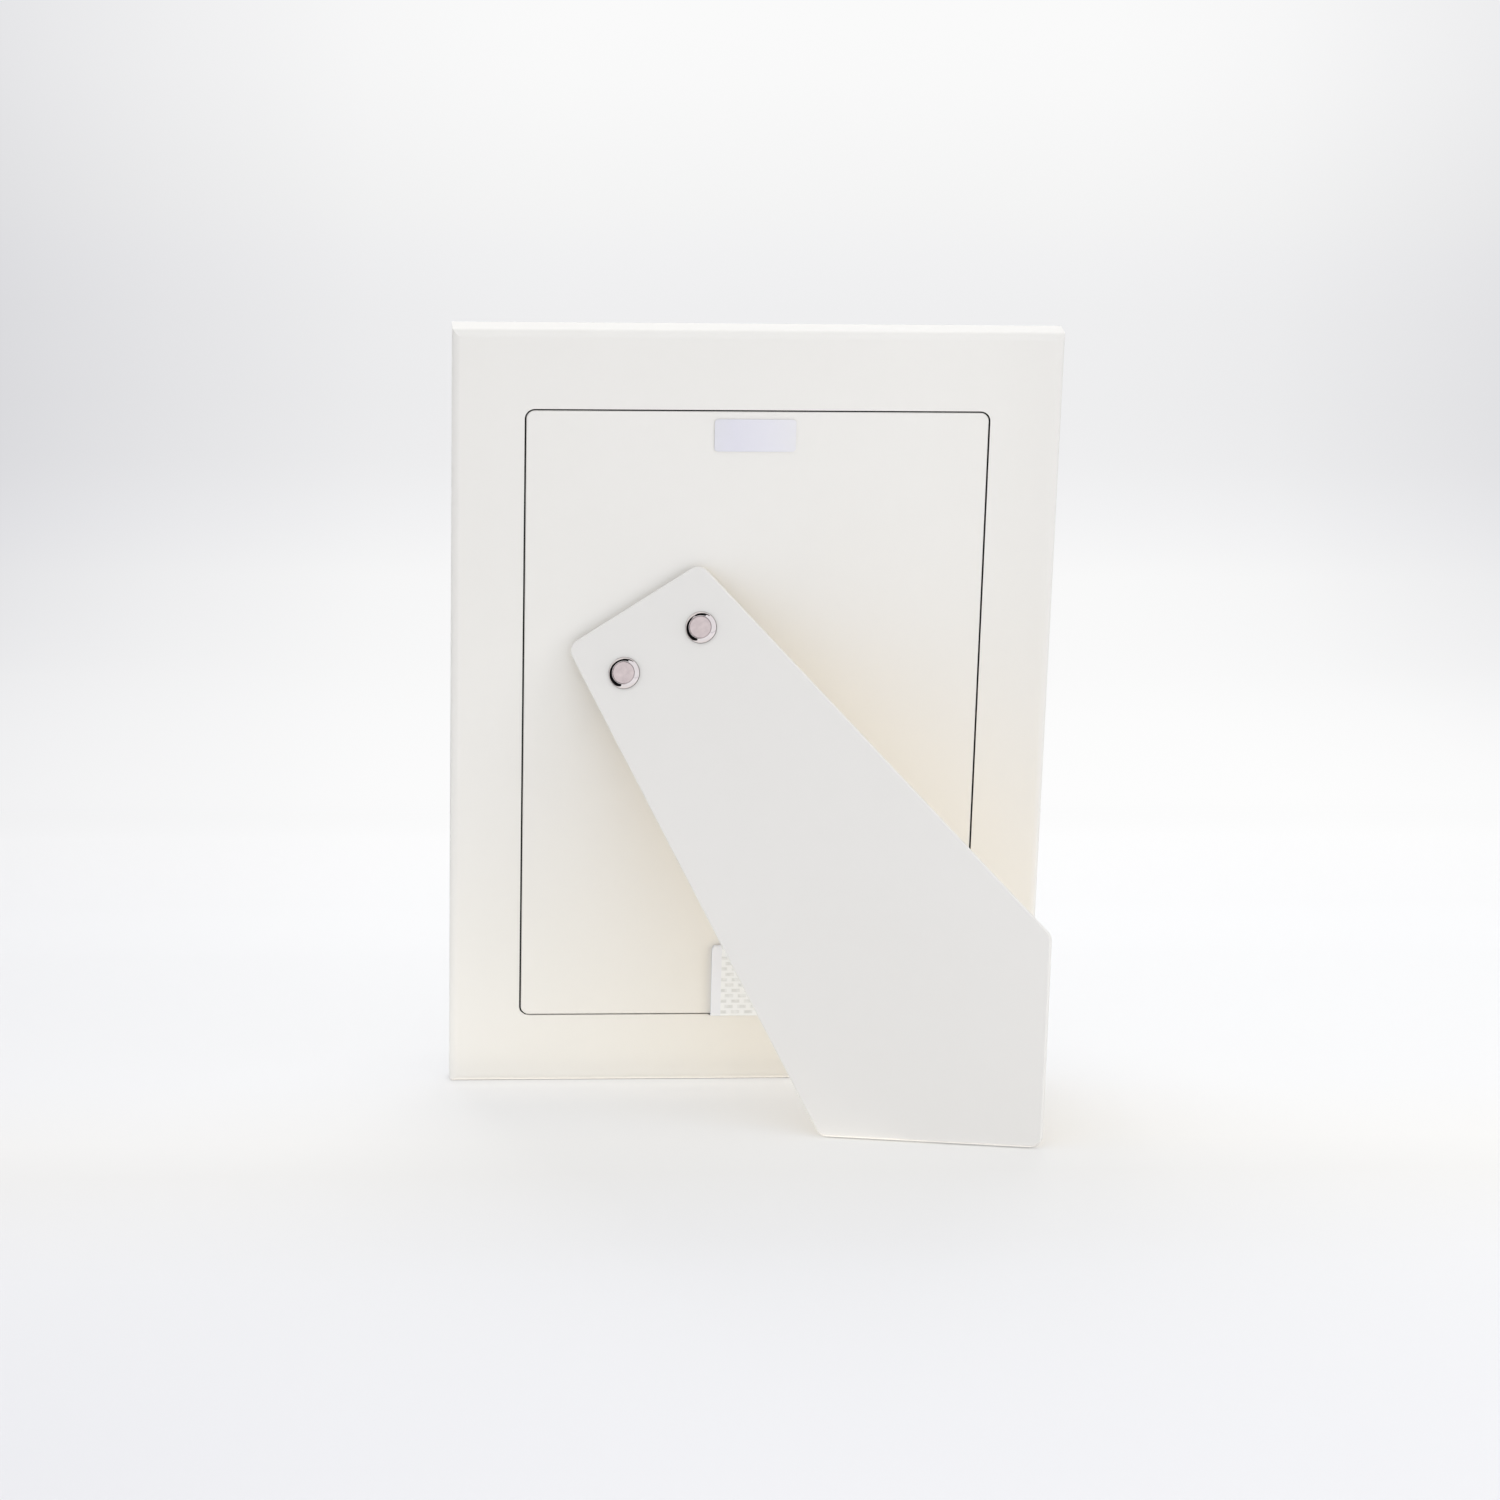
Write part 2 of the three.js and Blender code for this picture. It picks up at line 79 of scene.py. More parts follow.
def linear(colour):
    """An sRGB hex colour as the linear RGBA that a node takes."""
    parts = [int(colour[i : i + 2], 16) / 255 for i in (1, 3, 5)]
    return [p / 12.92 if p <= 0.04045 else ((p + 0.055) / 1.055) ** 2.4 for p in parts] + [1.0]


def add_node(material, kind, settings, inputs):
    """Adds a node with its settings; each input is a value or the output of another node."""
    made = material.node_tree.nodes.new(kind)
    for name, value in settings.items():
        setattr(made, name, value)
    for name, value in inputs.items():
        if isinstance(value, bpy.types.NodeSocket):
            material.node_tree.links.new(value, made.inputs[name])
        else:
            made.inputs[name].default_value = value
    return made


def new_material(name):
    """An empty node material, named for its real finish."""
    material = bpy.data.materials.new(name)
    material.use_nodes = True
    material.node_tree.nodes.clear()
    return material


def dress(node, material):
    """Gives a CAD node its finish; its mesh stays as it is."""
    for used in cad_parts[node].material_slots:
        used.material = material


def satin_lacquer(name, plane, light, deep, bare_coat_and_shade, middle, half):
    """Sprayed satin lacquer: orange peel 1.1 mm across catches the light softly, the tone drifts a little
    over 60 mm where the spray passes overlap, and handling has changed the gloss in spots 14 mm across. In
    a box, given by its middle and half size in mm, the spray did not reach and the unsprayed coat shows; on
    the frame that dark coat is partly painted shade, deep in the gap round the panel."""
    drift_size, peel_size, rub_size = 60 * MM, 1.1 * MM, 14 * MM
    material = new_material(name)
    turn = plane.inverted()
    where = add_node(material, "ShaderNodeTexCoord", {}, {})
    place = add_node(
        material,
        "ShaderNodeMapping",
        {},
        {
            "Vector": where.outputs["Object"],
            "Location": turn.to_translation(),
            "Rotation": turn.to_euler("XYZ"),
        },
    ).outputs[0]
    drift = add_node(
        material, "ShaderNodeTexNoise", {}, {"Vector": place, "Scale": 1 / drift_size, "Detail": 2.0}
    )
    tone = add_node(
        material,
        "ShaderNodeMix",
        {"data_type": "RGBA"},
        {0: drift.outputs["Fac"], 6: linear(light), 7: linear(deep)},
    )
    at = add_node(material, "ShaderNodeSeparateXYZ", {}, {"Vector": place})
    inside = 1.0
    for axis, centre, reach in zip("XYZ", middle, half):
        within = add_node(
            material,
            "ShaderNodeMath",
            {"operation": "COMPARE"},
            {0: at.outputs[axis], 1: centre * MM, 2: reach * MM},
        )
        inside = add_node(
            material, "ShaderNodeMath", {"operation": "MULTIPLY"}, {0: inside, 1: within.outputs[0]}
        ).outputs[0]
    colour = add_node(
        material, "ShaderNodeMix", {"data_type": "RGBA"}, {0: inside, 6: tone.outputs[2], 7: linear(bare_coat_and_shade)}
    )
    peel = add_node(
        material, "ShaderNodeTexNoise", {}, {"Vector": place, "Scale": 1 / peel_size, "Detail": 1.0}
    )
    bump = add_node(
        material,
        "ShaderNodeBump",
        {},
        {"Height": peel.outputs["Fac"], "Strength": 0.3, "Distance": 0.02 * MM},
    )
    rub = add_node(
        material, "ShaderNodeTexNoise", {}, {"Vector": place, "Scale": 1 / rub_size, "Detail": 3.0}
    )
    gloss = add_node(
        material,
        "ShaderNodeMapRange",
        {},
        {"Value": rub.outputs["Fac"], "To Min": 0.44, "To Max": 0.54},
    )
    surface = add_node(
        material,
        "ShaderNodeBsdfPrincipled",
        {},
        {
            "Base Color": colour.outputs[2],
            "Roughness": gloss.outputs[0],
            "Normal": bump.outputs[0],
            "IOR": 1.5,
        },
    )
    add_node(material, "ShaderNodeOutputMaterial", {}, {"Surface": surface.outputs[0]})
    return material


# a soft, faintly warm white without grain; the dark primer in the rebate, partly painted shade, makes the
# gap round the panel a dark line
RECESS_MIDDLE = (0, 113.45, -4.45)
RECESS_HALF = (66, 91.95, 4.05)
frame_lacquer = satin_lacquer(
    "satin_white_lacquer",
    REAR_PLANE,
    light="#EAE8E4",
    deep="#E8E6E1",
    bare_coat_and_shade="#17181C",
    middle=RECESS_MIDDLE,
    half=RECESS_HALF,
)
dress("frame_body", frame_lacquer)


# Glass pane
# A 2 mm sheet of cut float glass, laid in the rebate against the frame's front lip. It is all but colourless,
# with a trace of green, and faint wipe marks a few centimetres wide change its gloss.
GLASS_TINT = linear("#FAFDFB")
WIPE_SIZE = 35 * MM
glass = new_material("float_glass")
where = add_node(glass, "ShaderNodeTexCoord", {}, {})
wipe = add_node(
    glass,
    "ShaderNodeTexNoise",
    {},
    {"Vector": where.outputs["Object"], "Scale": 1 / WIPE_SIZE, "Detail": 4.0, "Distortion": 0.6},
)
wiped = add_node(
    glass, "ShaderNodeMapRange", {}, {"Value": wipe.outputs["Fac"], "To Min": 0.0, "To Max": 0.05}
)
surface = add_node(
    glass,
    "ShaderNodeBsdfPrincipled",
    {},
    {
        "Base Color": GLASS_TINT,
        "Roughness": wiped.outputs[0],
        "IOR": 1.5,
        "Transmission Weight": 1.0,
    },
)
# shadows pass straight through the pane, so the paper behind it is lit
lit = add_node(glass, "ShaderNodeBsdfTransparent", {}, {"Color": GLASS_TINT})
path = add_node(glass, "ShaderNodeLightPath", {}, {})
mixed = add_node(
    glass,
    "ShaderNodeMixShader",
    {},
    {0: path.outputs["Is Shadow Ray"], 1: surface.outputs[0], 2: lit.outputs[0]},
)
add_node(glass, "ShaderNodeOutputMaterial", {}, {"Surface": mixed.outputs[0]})
dress("glass_pane", glass)


# Photo insert
# A blank sheet of uncoated paper in place of a picture, loose between the glass and the board. It is matt,
# and its fibres show as a faint cloudiness.
CLOUD_SIZE = 4 * MM
paper = new_material("uncoated_paper")
where = add_node(paper, "ShaderNodeTexCoord", {}, {})
cloud = add_node(
    paper,
    "ShaderNodeTexNoise",
    {},
    {"Vector": where.outputs["Object"], "Scale": 1 / CLOUD_SIZE, "Detail": 6.0, "Roughness": 0.7},
)
tone = add_node(
    paper,
    "ShaderNodeMix",
    {"data_type": "RGBA"},
    {0: cloud.outputs["Fac"], 6: linear("#F2F0EA"), 7: linear("#EBE9E2")},
)
fibre = add_node(
    paper,
    "ShaderNodeBump",
    {},
    {"Height": cloud.outputs["Fac"], "Strength": 0.3, "Distance": 0.03 * MM},
)
surface = add_node(
    paper,
    "ShaderNodeBsdfPrincipled",
    {},
    {"Base Color": tone.outputs[2], "Roughness": 0.85, "Normal": fibre.outputs[0]},
)
add_node(paper, "ShaderNodeOutputMaterial", {}, {"Surface": surface.outputs[0]})
dress("photo_insert", paper)


# Backing board
# Grey board of pressed waste paper, cut to the pocket, which keeps the photo flat against the glass. Flecks
# of darker and paler fibre, about a millimetre long, make its matt face uneven.
FLECK_SIZE = 1.2 * MM
board = new_material("grey_board")
where = add_node(board, "ShaderNodeTexCoord", {}, {})
fleck = add_node(
    board,
    "ShaderNodeTexNoise",
    {},
    {"Vector": where.outputs["Object"], "Scale": 1 / FLECK_SIZE, "Detail": 5.0, "Roughness": 0.75},
)
spread = add_node(
    board, "ShaderNodeMapRange", {}, {"Value": fleck.outputs["Fac"], "From Min": 0.3, "From Max": 0.7}
)
tone = add_node(
    board,
    "ShaderNodeMix",
    {"data_type": "RGBA"},
    {0: spread.outputs[0], 6: linear("#A9A59D"), 7: linear("#8B877F")},
)
rough = add_node(
    board,
    "ShaderNodeBump",
    {},
    {"Height": fleck.outputs["Fac"], "Strength": 0.5, "Distance": 0.08 * MM},
)
surface = add_node(
    board,
    "ShaderNodeBsdfPrincipled",
    {},
    {"Base Color": tone.outputs[2], "Roughness": 0.9, "Normal": rough.outputs[0]},
)
add_node(board, "ShaderNodeOutputMaterial", {}, {"Surface": surface.outputs[0]})
dress("backing_board", board)


# Back panel
# A 3 mm fibreboard panel, sprayed together with the frame, so it has the same lacquer. It is pushed into the
# frame's recess, where it lies flush with the back.
# its edges lie in the recess box, so they take the same dark coat, partly painted shade
dress("back_panel", frame_lacquer)


# Blank label
# A blank label of smooth coated paper, stuck on near the panel's top edge. It is a cooler white than the
# lacquer, a little lavender in its middle and greyer towards one end.
MOTTLE_SIZE = 5 * MM
label = new_material("coated_label_paper")
where = add_node(label, "ShaderNodeTexCoord", {}, {})
mottle = add_node(
    label,
    "ShaderNodeTexNoise",
    {},
    {"Vector": where.outputs["Object"], "Scale": 1 / MOTTLE_SIZE, "Detail": 3.0},
)
spot = add_node(label, "ShaderNodeSeparateXYZ", {}, {"Vector": where.outputs["Object"]})
GREY_END, PALE_END = 17 * MM, -12 * MM
along = add_node(
    label,
    "ShaderNodeMapRange",
    {},
    {"Value": spot.outputs["X"], "From Min": GREY_END, "From Max": PALE_END, "To Min": -0.15, "To Max": 0.85},
)
share = add_node(
    label,
    "ShaderNodeMath",
    {"operation": "MULTIPLY_ADD"},
    {0: mottle.outputs["Fac"], 1: 0.3, 2: along.outputs[0]},
)
tone = add_node(label, "ShaderNodeValToRGB", {}, {0: share.outputs[0]})
LABEL_TONES = ((0.0, "#DADADD"), (0.35, "#DDDCE5"), (0.7, "#E1E0E7"), (1.0, "#E5E4E6"))
for index, (position, colour) in enumerate(LABEL_TONES):
    stop = tone.color_ramp.elements[index] if index < 2 else tone.color_ramp.elements.new(position)
    stop.position = position
    stop.color = linear(colour)
ripple = add_node(
    label,
    "ShaderNodeBump",
    {},
    {"Height": mottle.outputs["Fac"], "Strength": 0.3, "Distance": 0.05 * MM},
)
surface = add_node(
    label,
    "ShaderNodeBsdfPrincipled",
    {},
    {"Base Color": tone.outputs[0], "Roughness": 0.35, "Normal": ripple.outputs[0]},
)
add_node(label, "ShaderNodeOutputMaterial", {}, {"Surface": surface.outputs[0]})
dress("blank_label", label)


# Pull tape
# A strip of white woven polyester tape, 19 mm wide with smooth selvedges. Its tail lies under the panel, and
# it comes up through the gap, folds over at the top of its tab and lies back under itself.
TAPE_W = 18.8
TAPE_T = 0.36
TAB_LOW = 21.35
TAB_TOP = 43.6
TAB_CORNER = 1.6


def arc(centre_y, centre_z, radius, start, end, steps):
    """Points (y, z) in mm round a bend of the tape, its angles in degrees from +y towards +z."""
    turns = [math.radians(start + (end - start) * i / steps) for i in range(steps + 1)]
    return [(centre_y + radius * math.cos(t), centre_z + radius * math.sin(t)) for t in turns]


# the tape's middle line in (y, z), from the end of its tail to the end tucked in under its tab
TAIL_END, TAIL_STEP, TAIL_Z = 35.6, 1.4, -3.35
FOLD_STEPS = 10
tail = [(TAIL_END - TAIL_STEP * i, TAIL_Z) for i in range(10)]
rise = arc(TAB_LOW + 0.25, -3.1, 0.25, 270, 180, 5) + [(TAB_LOW, -2.0), (TAB_LOW, -0.8), (TAB_LOW, 0.2)]
over_edge = arc(TAB_LOW + 0.45, 0.65, 0.45, 180, 90, 6)
outer = [(22.4 + 1.0 * i, 1.1 + 0.15 * min(1.0, i / 14)) for i in range(21)]
fold = arc(TAB_TOP - 0.63, 0.8, 0.45, 90, -90, FOLD_STEPS)
inner = [(42.4 - 1.0 * i, 0.35) for i in range(20)]
line = tail + rise + over_edge + outer + fold + inner

along = [0.0]
for (y0, z0), (y1, z1) in zip(line, line[1:]):
    along.append(along[-1] + math.hypot(y1 - y0, z1 - z0))
fold_at = along[len(tail + rise + over_edge + outer) + FOLD_STEPS // 2]
ACROSS = 24
tape_mesh = bpy.data.meshes.new("pull_tape_woven")
shape = bmesh.new()
uv = shape.loops.layers.uv.new("weave")
rows = []
for (y, z), run in zip(line, along):
    # the width draws in round the two corners at the fold
    near = max(0.0, 1 - abs(run - fold_at) / TAB_CORNER)
    half = TAPE_W / 2 - TAB_CORNER * (1 - math.sqrt(max(0.0, 1 - near * near)))
    across = [half * (2 * i / ACROSS - 1) for i in range(ACROSS + 1)]
    rows.append([shape.verts.new(Vector((x, y, z)) * MM) for x in across])
for row, (low, high) in enumerate(zip(rows, rows[1:])):
    for i in range(ACROSS):
        face = shape.faces.new((low[i], low[i + 1], high[i + 1], high[i]))
        ends = (along[row], along[row], along[row + 1], along[row + 1])
        for loop, run in zip(face.loops, ends):
            loop[uv].uv = (loop.vert.co.x, run * MM)
shape.to_mesh(tape_mesh)
shape.free()
tape = bpy.data.objects.new("pull_tape_woven", tape_mesh)
bpy.context.scene.collection.objects.link(tape)
bpy.ops.object.select_all(action="DESELECT")
bpy.context.view_layer.objects.active = tape
tape.select_set(True)
wall = tape.modifiers.new("thickness", "SOLIDIFY")
wall.thickness = TAPE_T * MM
wall.offset = 0
bpy.ops.object.modifier_apply(modifier=wall.name)
bpy.ops.object.shade_smooth_by_angle(angle=math.radians(50))
tape.data.transform(REAR_PLANE)

# a cool white, matt and soft; the eye sees rows of small sunk picks, with painted shade in their hollows,
# between two plain, smooth selvedges
woven = new_material("woven_polyester_tape")
where = add_node(woven, "ShaderNodeUVMap", {"uv_map": "weave"}, {})
spot = add_node(woven, "ShaderNodeSeparateXYZ", {}, {"Vector": where.outputs[0]})
# each row of picks is set half a step on; the brick pattern is squeezed along the row, so that the threads
# between the picks are wide and those between the rows are narrow
PITCH = 16
SQUEEZE = 0.5
PICK_STEP = 3.85
ROW_STEP = 1.71
THREAD = 0.55
PICK_START = 0.14
SELVEDGE_W = 3.0
DEPTH_SIZE = 1.6 * MM
RIB_STEP = 0.6 * MM
squeezed = add_node(
    woven,
    "ShaderNodeMapping",
    {},
    {"Vector": where.outputs[0], "Location": (PICK_START * MM, 0, 0), "Scale": (SQUEEZE, 1, 1)},
)
picks = add_node(
    woven,
    "ShaderNodeTexBrick",
    {"offset": 0.5, "offset_frequency": 2, "squash": 1.0},
    {
        "Vector": squeezed.outputs[0],
        "Scale": 1 / (PITCH * MM),
        "Brick Width": PICK_STEP * SQUEEZE / PITCH,
        "Row Height": ROW_STEP / PITCH,
        "Mortar Size": THREAD / PITCH,
        "Mortar Smooth": 0.6,
        "Color1": (0, 0, 0, 1),
        "Color2": (0, 0, 0, 1),
        "Mortar": (1, 1, 1, 1),
    },
)
out = add_node(woven, "ShaderNodeMath", {"operation": "ABSOLUTE"}, {0: spot.outputs["X"]})
selvedge_from = TAPE_W / 2 - SELVEDGE_W
selvedge = add_node(
    woven,
    "ShaderNodeMapRange",
    {"interpolation_type": "SMOOTHSTEP"},
    {"Value": out.outputs[0], "From Min": selvedge_from * MM, "From Max": (selvedge_from + 0.25) * MM},
)
raised = add_node(
    woven,
    "ShaderNodeMath",
    {"operation": "MAXIMUM"},
    {0: picks.outputs["Fac"], 1: selvedge.outputs[0]},
)
# no two picks lie equally deep
uneven = add_node(
    woven, "ShaderNodeTexNoise", {}, {"Vector": where.outputs[0], "Scale": 1 / DEPTH_SIZE, "Detail": 1.0}
)
filled = add_node(
    woven,
    "ShaderNodeMapRange",
    {},
    {"Value": uneven.outputs["Fac"], "From Min": 0.35, "From Max": 0.65, "To Max": 0.6},
)
raised = add_node(
    woven, "ShaderNodeMath", {"operation": "MAXIMUM"}, {0: raised.outputs[0], 1: filled.outputs[0]}
)
# the yarns, really 0.3 mm apart, are drawn coarser, two to a rib 0.6 mm wide; the wave texture repeats every
# 0.314 at scale 1
WAVE_UNIT = 0.314
yarn = add_node(
    woven,
    "ShaderNodeTexWave",
    {"bands_direction": "X"},
    {
        "Vector": where.outputs[0],
        "Scale": WAVE_UNIT / RIB_STEP,
        "Distortion": 0.4,
        "Detail": 1.0,
    },
)
height = add_node(
    woven,
    "ShaderNodeMath",
    {"operation": "MULTIPLY_ADD"},
    {0: yarn.outputs["Fac"], 1: 0.15, 2: raised.outputs[0]},
)
# painted shade: the sunk picks are coloured darker than the raised threads round them
tone = add_node(
    woven,
    "ShaderNodeMix",
    {"data_type": "RGBA"},
    {0: raised.outputs[0], 6: linear("#D6D9DC"), 7: linear("#EFF2F6")},
)
cooler = add_node(
    woven,
    "ShaderNodeMix",
    {"data_type": "RGBA"},
    {0: selvedge.outputs[0], 6: tone.outputs[2], 7: linear("#E9ECF4")},
)
bump = add_node(
    woven,
    "ShaderNodeBump",
    {},
    {"Height": height.outputs[0], "Strength": 0.5, "Distance": 0.12 * MM},
)
surface = add_node(
    woven,
    "ShaderNodeBsdfPrincipled",
    {},
    {
        "Base Color": cooler.outputs[2],
        "Roughness": 0.75,
        "Sheen Weight": 0.15,
        "Normal": bump.outputs[0],
    },
)
add_node(woven, "ShaderNodeOutputMaterial", {}, {"Surface": surface.outputs[0]})
tape.data.materials.append(woven)
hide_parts("pull_tape")
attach(tape, "panel")


# Hinge
# Two leaves of zinc plated steel strip, rolled round a pin, and two flat rivets that hold one of them on the
# panel. The plating is matt, with fine lines along the strip.
HINGE_PLACE = Vector((-30.5, 142.5, 0)) * MM
HINGE_TURN = math.radians(33.7)
HINGE_PLANE = REAR_PLANE @ Matrix.Translation(HINGE_PLACE) @ Matrix.Rotation(HINGE_TURN, 4, "Z")
# a cool grey with a weak mirror, whose fine lines stretch each highlight across them; they are drawn 0.25 mm
# apart, coarser than real, so that they show, and faint clouds 2.5 mm across change the tone
LINE_SIZE = 0.25 * MM
ZINC_CLOUD = 2.5 * MM
zinc = new_material("zinc_plated_steel")
turn = HINGE_PLANE.inverted()
where = add_node(zinc, "ShaderNodeTexCoord", {}, {})
place = add_node(
    zinc,
    "ShaderNodeMapping",
    {},
    {
        "Vector": where.outputs["Object"],
        "Location": turn.to_translation(),
        "Rotation": turn.to_euler("XYZ"),
    },
)
drawn = add_node(zinc, "ShaderNodeMapping", {}, {"Vector": place.outputs[0], "Scale": (0.08, 1.0, 1.0)})
lines = add_node(
    zinc,
    "ShaderNodeTexNoise",
    {},
    {"Vector": drawn.outputs[0], "Scale": 1 / LINE_SIZE, "Detail": 3.0},
)
spangle = add_node(
    zinc, "ShaderNodeTexVoronoi", {}, {"Vector": place.outputs[0], "Scale": 1 / ZINC_CLOUD}
)
tone = add_node(
    zinc,
    "ShaderNodeMix",
    {"data_type": "RGBA"},
    {0: spangle.outputs["Distance"], 6: linear("#C6C9CC"), 7: linear("#B4B7BB")},
)
gloss = add_node(
    zinc, "ShaderNodeMapRange", {}, {"Value": lines.outputs["Fac"], "To Min": 0.28, "To Max": 0.46}
)
bump = add_node(
    zinc,
    "ShaderNodeBump",
    {},
    {"Height": lines.outputs["Fac"], "Strength": 0.3, "Distance": 0.02 * MM},
)
surface = add_node(
    zinc,
    "ShaderNodeBsdfPrincipled",
    {},
    {
        "Base Color": tone.outputs[2],
        "Metallic": 1.0,
        "Roughness": gloss.outputs[0],
        "Normal": bump.outputs[0],
    },
)
add_node(zinc, "ShaderNodeOutputMaterial", {}, {"Surface": surface.outputs[0]})
for node in ("panel_leaf", "strut_leaf", "hinge_pin", "panel_rivet_left", "panel_rivet_right"):
    dress(node, zinc)


# Strut
# A flared leg of 3 mm fibreboard with rounded arrises, riveted to its hinge leaf. Its lacquer is drawn a
# shade darker and cooler than the frame's, and its inner face stays unsprayed, which throws a warm light
# on the panel.
PIN_HEIGHT = 1.55 * MM
OPEN_ANGLE = math.radians(29.2)
STRUT_PLANE = (
    HINGE_PLANE @ Matrix.Translation((0, 0, PIN_HEIGHT)) @ Matrix.Rotation(-OPEN_ANGLE, 4, "X")
)
INNER_MIDDLE = (0, 0, 0)
INNER_HALF = (200, 300, 1.7)
strut_lacquer = satin_lacquer(
    "satin_white_strut_lacquer",
    STRUT_PLANE,
    light="#E4E2DF",
    deep="#E2E0DC",
    bare_coat_and_shade="#FDEBC8",
    middle=INNER_MIDDLE,
    half=INNER_HALF,
)
dress("strut", strut_lacquer)


# Cup washers and strut rivets
# Two nickel plated rivets join the strut to its hinge leaf. Each flat head sits in a pressed cup washer,
# whose slope stands up round it. The washers are plated bright, and the heads are a little duller and warmer.
RIVETS = {"left": (-12.05, -9.6), "right": (13.45, -10.2)}
WASHER_Z = 4.65
TURNED_SIDES = 96


def pick_edges(piece, wanted):
    """Selects, in edit mode, only the edges for which wanted(edge) is true."""
    bpy.ops.mesh.select_all(action="DESELECT")
    form = bmesh.from_edit_mesh(piece.data)
    for edge in form.edges:
        if wanted(edge):
            edge.select_set(True)
    bmesh.update_edit_mesh(piece.data)


def turned_skin(name, profile):
    """Extrudes and scales a circle through a profile of (radius, height) in mm, round the z axis."""
    bpy.ops.object.select_all(action="DESELECT")
    radius, height = profile[0]
    bpy.ops.mesh.primitive_circle_add(vertices=TURNED_SIDES, radius=radius * MM, fill_type="NOTHING")
    piece = bpy.context.object
    piece.name = name
    bpy.ops.object.mode_set(mode="EDIT")
    bpy.ops.mesh.select_all(action="SELECT")
    bpy.ops.transform.translate(value=(0, 0, height * MM))
    for next_radius, next_height in profile[1:]:
        bpy.ops.mesh.extrude_region_move(
            TRANSFORM_OT_translate={"value": (0, 0, (next_height - height) * MM)}
        )
        grow = next_radius / radius
        bpy.ops.transform.resize(value=(grow, grow, 1), center_override=(0, 0, next_height * MM))
        radius, height = next_radius, next_height
    return piece


# from the flat tail on the leaf, up the shank, to the head's rounded rim and flat top
rivet = turned_skin(
    "rivet",
    [
        (2.15, 0.2), (2.36, 0.24), (2.4, 0.4), (2.34, 0.62), (2.15, 0.7), (1.5, 0.7), (1.5, 5.1), (2.9, 5.1),
        (3.08, 5.16), (3.15, 5.3), (3.15, 5.5), (3.13, 5.57), (3.09, 5.62), (3.02, 5.645), (2.94, 5.65),
        (2.8, 5.65), (2.0, 5.65), (1.0, 5.65), (0.2, 5.65),
    ],
)
bpy.ops.mesh.edge_face_add()
pick_edges(rivet, lambda edge: edge.is_boundary)
bpy.ops.mesh.edge_face_add()
bpy.ops.mesh.select_all(action="SELECT")
bpy.ops.mesh.normals_make_consistent(inside=False)
bpy.ops.object.mode_set(mode="OBJECT")
bpy.ops.object.shade_smooth_by_angle(angle=math.radians(40))

# from the hole, up the inner wall round the head, over the rim and down the outer slope
cup = turned_skin(
    "cup",
    [
        (1.62, 0.3), (2.6, 0.3), (3.08, 0.32), (3.17, 0.42), (3.18, 0.62), (3.18, 0.86), (3.19, 0.96),
        (3.22, 1.03), (3.27, 1.05), (3.32, 1.04), (3.4, 1.0), (3.55, 0.92), (3.7, 0.845), (3.85, 0.77),
        (4.0, 0.69), (4.13, 0.61), (4.25, 0.52), (4.35, 0.42), (4.44, 0.3), (4.5, 0.2), (4.55, 0.1),
    ],
)
bpy.ops.mesh.select_all(action="SELECT")
bpy.ops.mesh.normals_make_consistent(inside=False)
bpy.ops.object.mode_set(mode="OBJECT")
if sum(face.normal.z for face in cup.data.polygons) < 0:
    cup.data.flip_normals()
CUP_WALL = 0.22
wall = cup.modifiers.new("wall", "SOLIDIFY")
wall.thickness = CUP_WALL * MM
wall.offset = -1
bpy.ops.object.modifier_apply(modifier=wall.name)
bpy.ops.object.shade_smooth_by_angle(angle=math.radians(40))
# marks the foot of the outer slope, where a thin dark ring of painted contact shadow meets the lacquer
FOOT_SHADE_RADIUS = 4.46
seam = cup.data.attributes.new("seam", "FLOAT", "POINT")
for index, vert in enumerate(cup.data.vertices):
    seam.data[index].value = 1.0 if vert.co.xy.length > FOOT_SHADE_RADIUS * MM else 0.0

# a warm, slightly hazed mirror; the haze wanders over 1.8 mm, and tool marks, drawn 0.5 mm apart, coarser
# than real, break up the reflections
HAZE_SIZE = 1.8 * MM
TOOL_MARK = 0.5 * MM
nickel = new_material("satin_nickel_plate")
turn = STRUT_PLANE.inverted()
where = add_node(nickel, "ShaderNodeTexCoord", {}, {})
place = add_node(
    nickel,
    "ShaderNodeMapping",
    {},
    {
        "Vector": where.outputs["Object"],
        "Location": turn.to_translation(),
        "Rotation": turn.to_euler("XYZ"),
    },
)
haze = add_node(
    nickel,
    "ShaderNodeTexNoise",
    {},
    {"Vector": place.outputs[0], "Scale": 1 / HAZE_SIZE, "Detail": 4.0},
)
tone = add_node(
    nickel,
    "ShaderNodeMix",
    {"data_type": "RGBA"},
    {0: haze.outputs["Fac"], 6: linear("#EBDDDB"), 7: linear("#CCBDBE")},
)
gloss = add_node(
    nickel, "ShaderNodeMapRange", {}, {"Value": haze.outputs["Fac"], "To Min": 0.07, "To Max": 0.16}
)
tool = add_node(
    nickel,
    "ShaderNodeTexNoise",
    {},
    {"Vector": place.outputs[0], "Scale": 1 / TOOL_MARK, "Detail": 2.0},
)
bump = add_node(
    nickel,
    "ShaderNodeBump",
    {},
    {"Height": tool.outputs["Fac"], "Strength": 0.25, "Distance": 0.01 * MM},
)
surface = add_node(
    nickel,
    "ShaderNodeBsdfPrincipled",
    {},
    {
        "Base Color": tone.outputs[2],
        "Metallic": 1.0,
        "Roughness": gloss.outputs[0],
        "Normal": bump.outputs[0],
    },
)
add_node(nickel, "ShaderNodeOutputMaterial", {}, {"Surface": surface.outputs[0]})

